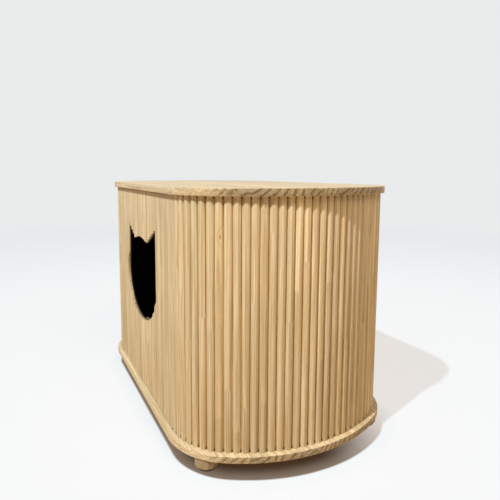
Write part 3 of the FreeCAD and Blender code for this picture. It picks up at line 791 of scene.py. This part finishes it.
def plastic(name, tint):
    """Moulded plastic with a fine matt grain."""
    shader = Shader(name)
    grain = shader.noise(shader.place(), 2400.0, 2.0)
    cloud = shader.noise(shader.place(), 35.0, 2.0)
    shader.set(Base_Color=shader.scaled(tint, shader.span(cloud, 0.2, 0.8, 0.95, 1.03)),
               Roughness=shader.line(grain, 0.42, 0.58, 0.2, 0.8))
    shader.bump(grain, 0.00003, 0.4)
    return shader.material


def felt(name, tint):
    """Dense felt: matted fibres with a soft sheen."""
    shader = Shader(name)
    mat = shader.noise(shader.place(), 900.0, 5.0, 0.7)
    shader.set(Base_Color=shader.scaled(tint, shader.span(mat, 0.3, 0.7, 0.6, 1.6)),
               Roughness=0.95, Sheen_Weight=0.4)
    shader.bump(mat, 0.0004, 0.8)
    return shader.material


# Floor: its colour in bounced light, and how much of its light is evened out for
# the camera, near the base board and far from it
PAPER_BOUNCE = (0.70, 0.54, 0.37)
PAPER_NEAR = (1.045, 0.992, 0.965)
BACKDROP_TINT = (0.82, 0.835, 0.84)
PAPER_FADE = (0.9, 4.0)
FLOOR_EVEN, EVEN_START = 0.70, 0.85
EVEN_NEAR, EVEN_FAR = (0.0, 0.05), (1.5, 5.0)

# Contact shadow under the base board: its shift on the floor, its soft border,
# its dark middle and its edge, and the paler part behind the cabinet
CONTACT_SHIFT = (0.011, 0.007)
CONTACT_BORDER = (0.003, -0.003)
CONTACT_INNER, CONTACT_BEHIND = (-0.045, 0.002), (0.02, 0.30)
CONTACT_DARK = (0.060, 0.032, 0.016)
CONTACT_EDGE = (0.235, 0.180, 0.135)
CONTACT_PALE = (0.76, 0.69, 0.64)


def past_base(shader, x, y):
    """How far a point of the floor lies outside the base board's plan."""
    flat, centre_y, end_x, tilt = plan_values()
    overhang = sizes().base_overhang
    x, y = shader.math("ABSOLUTE", x), shader.math("ABSOLUTE", y)
    from_end = shader.minus(x, end_x)
    end = shader.minus(shader.distance(from_end, y), sizes().end_radius + overhang)
    aside = shader.math("MAXIMUM", shader.minus(x, flat), 0.0)
    ahead = shader.math("MAXIMUM", shader.minus(y, centre_y), 0.0)
    corner = shader.minus(shader.distance(aside, ahead), sizes().corner_radius + overhang)
    at_end = shader.math("LESS_THAN", y, shader.times(from_end, math.tan(tilt)))
    return shader.math("MULTIPLY_ADD", at_end, shader.minus(end, corner), corner)


def floor_paint(name, tint):
    """Pale paper. The camera sees its light evened out away from the object, as a
    studio's white does, and a brown contact shadow under the base board."""
    shader = Shader(name)
    x, y, _ = shader.split(shader.place())
    cloud = shader.noise(shader.place(), 0.7, 3.0)
    seen = shader.seen("Transmission")
    paper = shader.mix(seen, PAPER_BOUNCE, tint)
    shader.set(Base_Color=shader.scaled(paper, shader.span(cloud, 0.2, 0.8, 0.985, 1.0)),
               Roughness=0.85, Specular_IOR_Level=0.15)
    far = shader.distance(x, y)
    outside = past_base(shader, *(shader.minus(*pair) for pair in zip((x, y), CONTACT_SHIFT)))
    even = shader.plus(shader.span(outside, *EVEN_NEAR, EVEN_START * FLOOR_EVEN, FLOOR_EVEN),
                       shader.span(far, *EVEN_FAR, 0.0, 1.0 - FLOOR_EVEN))
    covered = shader.span(outside, *CONTACT_BORDER)
    shade = shader.mix(shader.span(outside, *CONTACT_INNER), CONTACT_DARK, CONTACT_EDGE)
    shade = shader.mix(shader.span(y, *CONTACT_BEHIND), shade, CONTACT_PALE)
    lit = shader.mix(shader.span(far, *PAPER_FADE), PAPER_NEAR, BACKDROP_TINT)
    result = shader.surface.outputs["BSDF"]
    for share, light in ((even, lit), (covered, shade)):
        glow = shader.add("ShaderNodeEmission")
        shader.feed(glow.inputs["Color"], light)
        result = shader.layer(shader.times(share, seen), result, glow.outputs["Emission"])
    shader.link(result, shader.output)
    return shader.material


FINISHES = {}


def make_finishes():
    """Make every material that the pieces wear."""
    tints = colours()
    FINISHES.update(
        board=pine("pine_board_finish", "X", lamella=0.036, contrast=1.15, tone_spread=0.08),
        # Reeds with painted shade in their valleys and at their ends
        reed=pine("pine_reed_shaded_finish", "Z", contrast=1.15, tone_spread=0.075, valleys=True),
        upright=pine("pine_upright_finish", "Z", jointed=False, contrast=1.1),
        rail=pine("pine_rail_finish", "X", jointed=False, contrast=1.1),
        # Feet darkened with painted shade for the base board's shadow
        foot=pine("pine_foot_shaded_finish", "Z", jointed=False, stain_or_shade=tints.foot),
        dowel=pine("beech_dowel_finish", "Z", jointed=False, contrast=0.3, stain_or_shade=tints.beech),
        # Plywood with near-black painted shade on its edges and inner face
        ply=plywood("plywood_shaded_finish"),
        steel=metal("zinc_steel_finish", tints.steel),
        screw=metal("yellow_zinc_finish", tints.yellow_zinc),
        brass=metal("brass_finish", tints.brass),
        nylon=plastic("nylon_finish", tints.nylon),
        housing=plastic("catch_housing_finish", tints.housing),
        felt=felt("felt_finish", tints.felt),
    )


# Boards

def model_board(node, low, high, overhang):
    """Rounded board: a polygon on the plan, extruded and eased."""
    board = add_polygon(f"{node}_pine", [(*spot, low) for spot in plan_outline(overhang)])
    edit_all()
    extrude(0, 0, high - low)
    round_edges(board, is_level, sizes().board_round)
    close_edit()
    settle(board)
    smooth(board)
    dress(board, "board", BODY, node)


class CABINET_OT_boards(bpy.types.Operator):
    """Model the top board and the base board"""

    bl_idname = "cabinet.make_boards"
    bl_label = "Boards"

    def execute(self, context):
        model_board("top_board", TOP_LOW, TOP_HIGH, sizes().top_overhang)
        model_board("base_board", BASE_LOW, BASE_HIGH, sizes().base_overhang)
        return {"FINISHED"}


# Reeds

REED_SIDES = 56


def model_reed(name, width, low, high):
    """Half-round reed whose back lies on Y = 0 and whose crest points to -Y:
    a cylinder cut flat, with its end arrises eased."""
    height = sizes().reed_height
    radius = (width * width / 4 + height * height) / (2 * height)
    deselect()
    bpy.ops.mesh.primitive_cylinder_add(
        vertices=REED_SIDES, radius=radius, depth=high - low,
        location=(0, radius - height, (low + high) / 2))
    reed = settle(named(name))
    edit_all()
    bpy.ops.mesh.bisect(plane_co=(0, 0, 0), plane_no=(0, 1, 0), clear_outer=True, use_fill=True)
    round_edges(reed, lambda a, b: is_level(a, b) and min(a.y, b.y) < -LEVEL,
                sizes().reed_ease, segments=2)
    close_edit()
    return reed


def row_of_reeds(name, spots, width, low, high, dice):
    """Copies of one reed, each turned to face outwards at its own spot."""
    first = model_reed(f"{name}_first", width, low, high)
    reeds = []
    for number, (middle, outward) in enumerate(spots):
        mesh = first.data.copy()
        turn = math.atan2(outward.y, outward.x) + math.pi / 2
        mesh.transform(Matrix.Translation(middle) @ Matrix.Rotation(turn, 4, "Z"))
        set_seed(mesh, middle + outward * sizes().reed_height, dice.random())
        reeds.append(add_object(f"{name}_{number}", mesh))
    bpy.data.objects.remove(first)
    row = join(reeds, name)
    smooth(row)
    return row


def fixed_row(word, place, run, dice):
    """Reeds of one fixed side, spread evenly over its run. place(travel) gives a
    point of the backing and its outward direction."""
    count = round(run / sizes().reed_pitch)
    step = run / count
    spots = [place(step * (number + 0.5)) for number in range(count)]
    row = row_of_reeds(f"{word}_reed_row", spots, step - sizes().reed_gap,
                       BASE_HIGH, TOP_LOW, dice)
    dress(row, "reed", BODY, f"{word}_reeds")


class CABINET_OT_fixed_reeds(bpy.types.Operator):
    """Model the reeds of both ends and of the back"""

    bl_idname = "cabinet.make_fixed_reeds"
    bl_label = "Fixed reeds"

    def execute(self, context):
        dice = random.Random(FIXED_REED_DICE)
        for word, side in SIDES.items():
            mirror = Vector((side, 1, 1))
            fixed_row(f"{word}_end", lambda travel: [part * mirror for part in end_at(travel)],
                      end_length(), dice)
        fixed_row("back", lambda travel: (Vector((travel - SKIN_START, HALF_DEPTH, 0)),
                                          Vector((0, 1, 0))), 2 * SKIN_START, dice)
        return {"FINISHED"}


# Door leaves

ARC_STEPS = {"chin": 36, "cheek": 30, "tip": 8, "brow": 20}
CUTTER_MARGIN = 0.05


def opening_outline():
    """The cat's head on the front, as (x, z) from the chin's right end round."""
    values = opening_sizes()
    chin_z = BASE_HIGH + values.chin_base

    def spot(side, width, rise):
        return Vector((side * width, chin_z + rise))

    def half(side):
        chin, cheek, ear, tip, valley = (
            spot(side, getattr(values, f"{part}_width"), getattr(values, f"{part}_rise"))
            for part in ("chin", "cheek", "ear", "tip", "valley"))
        outer, inner = (ear - tip).normalized(), (valley - tip).normalized()
        angle = outer.angle(inner) / 2
        back = values.tip_round / math.tan(angle)
        top = values.tip_round / math.sin(angle) - values.tip_round
        crown = tip + (outer + inner).normalized() * top
        return (arc_through(chin, cheek, ear, ARC_STEPS["cheek"]) + [ear]
                + arc_through(tip + outer * back, crown, tip + inner * back, ARC_STEPS["tip"])
                + [tip + inner * back, valley])

    right, left = half(1), half(-1)
    brow = arc_through(right[-1], spot(0, 0, values.valley_rise + values.brow_rise), left[-1],
                       ARC_STEPS["brow"])
    chin = arc_through(left[0], spot(0, 0, 0), right[0], ARC_STEPS["chin"])
    return right + brow[1:] + left[::-1] + chin[1:]


def model_cutter():
    """Prism of the opening, used to cut the leaves and then removed."""
    cutter = add_polygon("opening_cutter", [(spot.x, -HALF_DEPTH - CUTTER_MARGIN, spot.y)
                                            for spot in opening_outline()])
    edit_all()
    extrude(0, 2 * CUTTER_MARGIN, 0)
    close_edit()
    return cutter


def cut_opening(piece, cutter):
    apply_modifier(piece, "BOOLEAN", operation="DIFFERENCE", solver="EXACT", object=cutter)


def model_panel(name, body, node, cutter=None):
    """Flat plywood in a CAD node's place, its depth marked for its plies."""
    low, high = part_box(node)
    deselect()
    bpy.ops.mesh.primitive_cube_add(size=1, location=(low + high) / 2, scale=high - low)
    panel = settle(named(name))
    if cutter:
        cut_opening(panel, cutter)
    mark_depth(panel.data, [(HALF_DEPTH - abs(vertex.co.y)) / BACKING
                            for vertex in panel.data.vertices])
    dress(panel, "ply", body, node)


class CABINET_OT_leaves(bpy.types.Operator):
    """Model the reeds and panels of both door leaves, with the opening"""

    bl_idname = "cabinet.make_leaves"
    bl_label = "Door leaves"

    def execute(self, context):
        dice = random.Random(LEAF_DICE)
        cutter = model_cutter()
        pitch, start = sizes().reed_pitch, sizes().seam_gap / 2
        front = Vector((0, -1, 0))
        for word, side in SIDES.items():
            body = f"{word}_door"
            reeds_low, reeds_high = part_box(f"{body}_reeds")
            count = round((reeds_high.x - reeds_low.x) / pitch)
            middles = [Vector((side * (start + pitch * (number + 0.5)), -HALF_DEPTH, 0))
                       for number in range(count)]
            seeds = [dice.random() for _ in middles]
            row = row_of_reeds(f"{word}_leaf_reed_row", [(middle, front) for middle in middles],
                               pitch - sizes().reed_gap, LEAF_LOW, LEAF_HIGH, dice)
            cut_opening(row, cutter)
            # The cut blends the marks of neighbours, so they are written anew
            for vertex, item in zip(row.data.vertices, row.data.attributes["stave"].data):
                number = int((abs(vertex.co.x) - start) / pitch)
                number = min(max(number, 0), count - 1)
                item.vector = (middles[number].x, -HALF_DEPTH - sizes().reed_height,
                               seeds[number])
            smooth(row)
            dress(row, "reed", body, f"{body}_reeds")
            model_panel(f"{word}_leaf_plywood", body, f"{body}_panel", cutter)
        bpy.data.objects.remove(cutter)
        return {"FINISHED"}


# Backings

SHELL_STEPS = 120


def model_end_shell(word, side):
    """Bent plywood of one end: a grid laid along the plan and given its wall."""
    deselect()
    bpy.ops.mesh.primitive_grid_add(x_subdivisions=SHELL_STEPS, y_subdivisions=1, size=2)
    shell = named(f"{word}_end_plywood")
    for vertex in shell.data.vertices:
        middle, _ = end_at(end_length() * (vertex.co.x + 1) / 2)
        vertex.co = (side * middle.x, middle.y, TOP_LOW if vertex.co.y > 0 else BASE_HIGH)
    outer = len(shell.data.vertices)
    edit_all()
    if side < 0:
        bpy.ops.mesh.flip_normals()
    bpy.ops.object.mode_set(mode="OBJECT")
    apply_modifier(shell, "SOLIDIFY", thickness=BACKING, offset=-1)
    mark_depth(shell.data, [float(number >= outer) for number in range(len(shell.data.vertices))])
    smooth(shell)
    dress(shell, "ply", BODY, f"{word}_end_shell")


class CABINET_OT_backings(bpy.types.Operator):
    """Model the bent plywood of the ends and the flat plywood of the back"""

    bl_idname = "cabinet.make_backings"
    bl_label = "Backings"

    def execute(self, context):
        for word, side in SIDES.items():
            model_end_shell(word, side)
        model_panel("back_plywood", BODY, "back_panel")
        return {"FINISHED"}


# Feet

FOOT_SIDES = 72
FOOT_EASE, PAD_EASE = 0.0007, 0.0008
FOOT_SMOOTH, PAD_SMOOTH = 25, 60


def model_foot(node, seed):
    """Turned foot: a disc drawn up through its chamfer to the base board."""
    low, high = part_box(node)
    chamfer = sizes().foot_chamfer
    middle = (low + high) / 2
    radius = (high.x - low.x) / 2
    deselect()
    bpy.ops.mesh.primitive_circle_add(vertices=FOOT_SIDES, radius=radius - chamfer,
                                      fill_type="NGON", location=(middle.x, middle.y, low.z))
    foot = settle(named(f"{node}_turned"))
    edit_all()
    extrude(0, 0, chamfer)
    bpy.ops.transform.resize(value=(radius / (radius - chamfer),) * 2 + (1,),
                             center_override=(middle.x, middle.y, low.z + chamfer))
    extrude(0, 0, high.z - low.z - chamfer)
    round_edges(foot, lambda a, b: is_level(a, b) and a.z < high.z - LEVEL, FOOT_EASE)
    close_edit()
    set_seed(foot.data, middle, seed)
    smooth(foot, FOOT_SMOOTH)
    dress(foot, "foot", BODY, node)


def model_pad(node):
    """Felt disc with a soft edge."""
    low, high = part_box(node)
    deselect()
    bpy.ops.mesh.primitive_cylinder_add(vertices=FOOT_SIDES, radius=(high.x - low.x) / 2,
                                        depth=high.z - low.z, location=(low + high) / 2)
    pad = settle(named(f"{node}_felt"))
    edit_all()
    round_edges(pad, is_level, PAD_EASE)
    close_edit()
    smooth(pad, PAD_SMOOTH)
    dress(pad, "felt", BODY, node)


class CABINET_OT_feet(bpy.types.Operator):
    """Model the four turned feet and their felt pads"""

    bl_idname = "cabinet.make_feet"
    bl_label = "Feet"

    def execute(self, context):
        dice = random.Random(FOOT_DICE)
        for row in ("front", "back"):
            for word in SIDES:
                model_foot(f"{row}_{word}_foot", dice.random())
                model_pad(f"{row}_{word}_foot_pad")
        return {"FINISHED"}


# Timber and hardware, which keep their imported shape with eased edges

MERGE_WITHIN = 0.000005
FLAT_WITHIN, EDGE_FROM = math.radians(0.5), math.radians(50)
DOWEL_EASE = 0.0003


def eased_copy(node, name, ease):
    """Copy of a CAD node with whole faces and small rounds on its edges."""
    piece = add_object(name, frame["nodes"][node].data.copy())
    piece.data.name = name
    activate(piece)
    edit_all()
    bpy.ops.mesh.remove_doubles(threshold=MERGE_WITHIN)
    bpy.ops.mesh.dissolve_limited(angle_limit=FLAT_WITHIN)
    close_edit()
    if ease:
        apply_modifier(piece, "BEVEL", width=ease, segments=2, limit_method="ANGLE",
                       angle_limit=EDGE_FROM, use_clamp_overlap=True, harden_normals=False)
    smooth(piece)
    return piece


def body_of(node):
    return frame["nodes"][node]["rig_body"]


def finish_timber(node, finish, seed):
    piece = eased_copy(node, f"{node}_wood", sizes().timber_ease)
    low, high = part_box(node)
    set_seed(piece.data, (low + high) / 2, seed)
    dress(piece, finish, body_of(node), node)


UPRIGHTS = [f"{row}_{word}_post" for row in ("front", "back") for word in SIDES]
UPRIGHTS += [f"{word}_door_{stick}" for word in SIDES
             for stick in ("hinge_stile", "meeting_battens")]
RAILS = ["top_back_cleat", "base_back_cleat", "door_stop_rail"]
RAILS += [f"{word}_{level}_former" for word in SIDES for level in ("top", "base")]


class CABINET_OT_timber(bpy.types.Operator):
    """Finish the posts, stiles, formers, cleats and rail inside"""

    bl_idname = "cabinet.finish_timber"
    bl_label = "Timber inside"

    def execute(self, context):
        dice = random.Random(TIMBER_DICE)
        for node in UPRIGHTS:
            finish_timber(node, "upright", dice.random())
        for node in RAILS:
            finish_timber(node, "rail", dice.random())
        dowels = eased_copy("post_dowels", "post_dowel_set", DOWEL_EASE)
        set_seed(dowels.data, (0, 0, 0), 0.4)
        dress(dowels, "dowel", BODY, "post_dowels")
        return {"FINISHED"}


def finish_hardware(node, finish):
    piece = eased_copy(node, f"{node}_finished", sizes().hardware_ease)
    dress(piece, finish, body_of(node), node)


class CABINET_OT_hardware(bpy.types.Operator):
    """Finish the pivots, bushes, catches, strikes, studs, inserts and screws"""

    bl_idname = "cabinet.finish_hardware"
    bl_label = "Hardware"

    def execute(self, context):
        for word in SIDES:
            for level in ("top", "base"):
                finish_hardware(f"{word}_door_{level}_pivot", "steel")
                finish_hardware(f"{word}_{level}_bush", "nylon")
            finish_hardware(f"{word}_door_strike", "steel")
            finish_hardware(f"{word}_catch", "housing")
            finish_hardware(f"{word}_door_pivot_screws", "screw")
        for node in ("former_screws", "cleat_screws", "rail_screws", "catch_screws"):
            finish_hardware(node, "screw")
        finish_hardware("foot_studs", "steel")
        finish_hardware("foot_inserts", "brass")
        return {"FINISHED"}


# Stage

CAMERA_AT = (1.2128, -0.5400, 0.6083)
CAMERA_HEADING = math.radians(154.80)
CAMERA_PITCH = math.radians(6.635)
CAMERA_ROLL = math.radians(0.2)
PHOTO_SIZE = 500
PHOTO_FOCAL = 470.87
PHOTO_AXIS = (239.24, 227.57)
SENSOR = 36.0

KEY_DIRECTION = Vector((0.235, -0.616, 0.810))
KEY_DISTANCE = 6.0
KEY_SPREAD = math.radians(1.3)
KEY_STRENGTH = 2.95
KEY_TINT = (1.0, 0.995, 0.98)
SIDE_DIRECTION = Vector((0.85, 0.05, 1.15))
SIDE_DISTANCE = 4.5
SIDE_SIZE = 2.4
SIDE_POWER = 74.0
SIDE_TINT = (1.0, 0.75, 0.50)
SKY_LOW, SKY_HIGH = 0.03, 0.11
SKY_TINT = (1.0, 0.90, 0.78)
FLOOR_RADIUS = 40.0


class CABINET_OT_stage(bpy.types.Operator):
    """Make the floor, the lamps, the world and the camera"""

    bl_idname = "cabinet.make_stage"
    bl_label = "Stage"

    def execute(self, context):
        scene = bpy.context.scene
        deselect()
        bpy.ops.mesh.primitive_circle_add(vertices=96, radius=FLOOR_RADIUS, fill_type="NGON")
        floor = named("studio_floor")
        floor.data.materials.append(floor_paint("studio_floor_finish", colours().floor))

        key = self.make_lamp("key_lamp", "SUN", KEY_DIRECTION, KEY_DISTANCE)
        key.angle, key.energy, key.color = KEY_SPREAD, KEY_STRENGTH, KEY_TINT
        side = self.make_lamp("side_softbox", "AREA", SIDE_DIRECTION, SIDE_DISTANCE)
        side.shape, side.size = "DISK", SIDE_SIZE
        side.energy, side.color = SIDE_POWER, SIDE_TINT

        self.make_world(scene)
        self.make_camera(scene)
        scene.view_settings.view_transform = "Standard"
        return {"FINISHED"}

    def make_lamp(self, name, kind, direction, distance):
        lamp = bpy.data.lights.new(name, kind)
        holder = add_object(name, lamp)
        holder.location = Vector((0, 0, MIDDLE_HEIGHT)) + direction.normalized() * distance
        holder.rotation_euler = direction.to_track_quat("Z", "Y").to_euler()
        return lamp

    def make_world(self, scene):
        """Fill light that comes mostly from above, and a pale backdrop for what
        the camera sees, straight or in a gloss."""
        scene.world = bpy.data.worlds.new("studio")
        scene.world.use_nodes = True
        sky = Nodes(scene.world.node_tree)
        up = sky.split(sky.add("ShaderNodeTexCoord").outputs["Generated"])[2]
        backgrounds = []
        for tint, strength in ((SKY_TINT, sky.line(up, SKY_LOW, SKY_HIGH)),
                               (BACKDROP_TINT, 1.0)):
            background = sky.add("ShaderNodeBackground")
            sky.feed(background.inputs["Color"], (*tint, 1))
            sky.feed(background.inputs["Strength"], strength)
            backgrounds.append(background.outputs[0])
        seen = sky.seen("Glossy", "Transmission")
        output = sky.add("ShaderNodeOutputWorld")
        sky.link(sky.layer(seen, *backgrounds), output.inputs["Surface"])

    def make_camera(self, scene):
        """The photograph's own viewpoint, worked out from the object's outline."""
        data = bpy.data.cameras.new("photo_camera")
        data.sensor_width = SENSOR
        data.lens = SENSOR * PHOTO_FOCAL / PHOTO_SIZE
        data.shift_x = 0.5 - PHOTO_AXIS[0] / PHOTO_SIZE
        data.shift_y = PHOTO_AXIS[1] / PHOTO_SIZE - 0.5
        camera = add_object("photo_camera", data)
        turn = Matrix.Rotation(CAMERA_HEADING - math.pi / 2, 4, "Z")
        tip = Matrix.Rotation(math.pi / 2 - CAMERA_PITCH, 4, "X")
        roll = Matrix.Rotation(CAMERA_ROLL, 4, "Z")
        camera.matrix_world = Matrix.Translation(CAMERA_AT) @ turn @ tip @ roll
        scene.camera = camera


class CABINET_PT_panel(bpy.types.Panel):
    """Sizes, colours and steps of the cabinet"""

    bl_idname = "CABINET_PT_panel"
    bl_label = "Litter box cabinet"
    bl_space_type = "VIEW_3D"
    bl_region_type = "UI"
    bl_category = "Cabinet"

    def draw(self, context):
        scene = context.scene
        for group in (scene.cabinet_sizes, scene.cabinet_opening, scene.cabinet_colours):
            box = self.layout.box()
            for key in group.__annotations__:
                box.prop(group, key)
        for step in STEPS:
            self.layout.operator(step.bl_idname)


STEPS = (CABINET_OT_boards, CABINET_OT_fixed_reeds, CABINET_OT_leaves, CABINET_OT_backings,
         CABINET_OT_feet, CABINET_OT_timber, CABINET_OT_hardware, CABINET_OT_stage)
GROUPS = {"cabinet_sizes": CabinetSizes, "cabinet_opening": OpeningSizes,
          "cabinet_colours": CabinetColours}


def register():
    for group in (*GROUPS.values(), *STEPS, CABINET_PT_panel):
        bpy.utils.register_class(group)
    for name, group in GROUPS.items():
        setattr(bpy.types.Scene, name, bpy.props.PointerProperty(type=group))


def unregister():
    for name in GROUPS:
        delattr(bpy.types.Scene, name)
    for group in reversed((*GROUPS.values(), *STEPS, CABINET_PT_panel)):
        bpy.utils.unregister_class(group)


def main():
    register()
    make_finishes()
    bpy.ops.cabinet.make_boards()
    bpy.ops.cabinet.make_fixed_reeds()
    bpy.ops.cabinet.make_leaves()
    bpy.ops.cabinet.make_backings()
    bpy.ops.cabinet.make_feet()
    bpy.ops.cabinet.finish_timber()
    bpy.ops.cabinet.finish_hardware()
    bpy.ops.cabinet.make_stage()


if __name__ == "__main__":
    main()
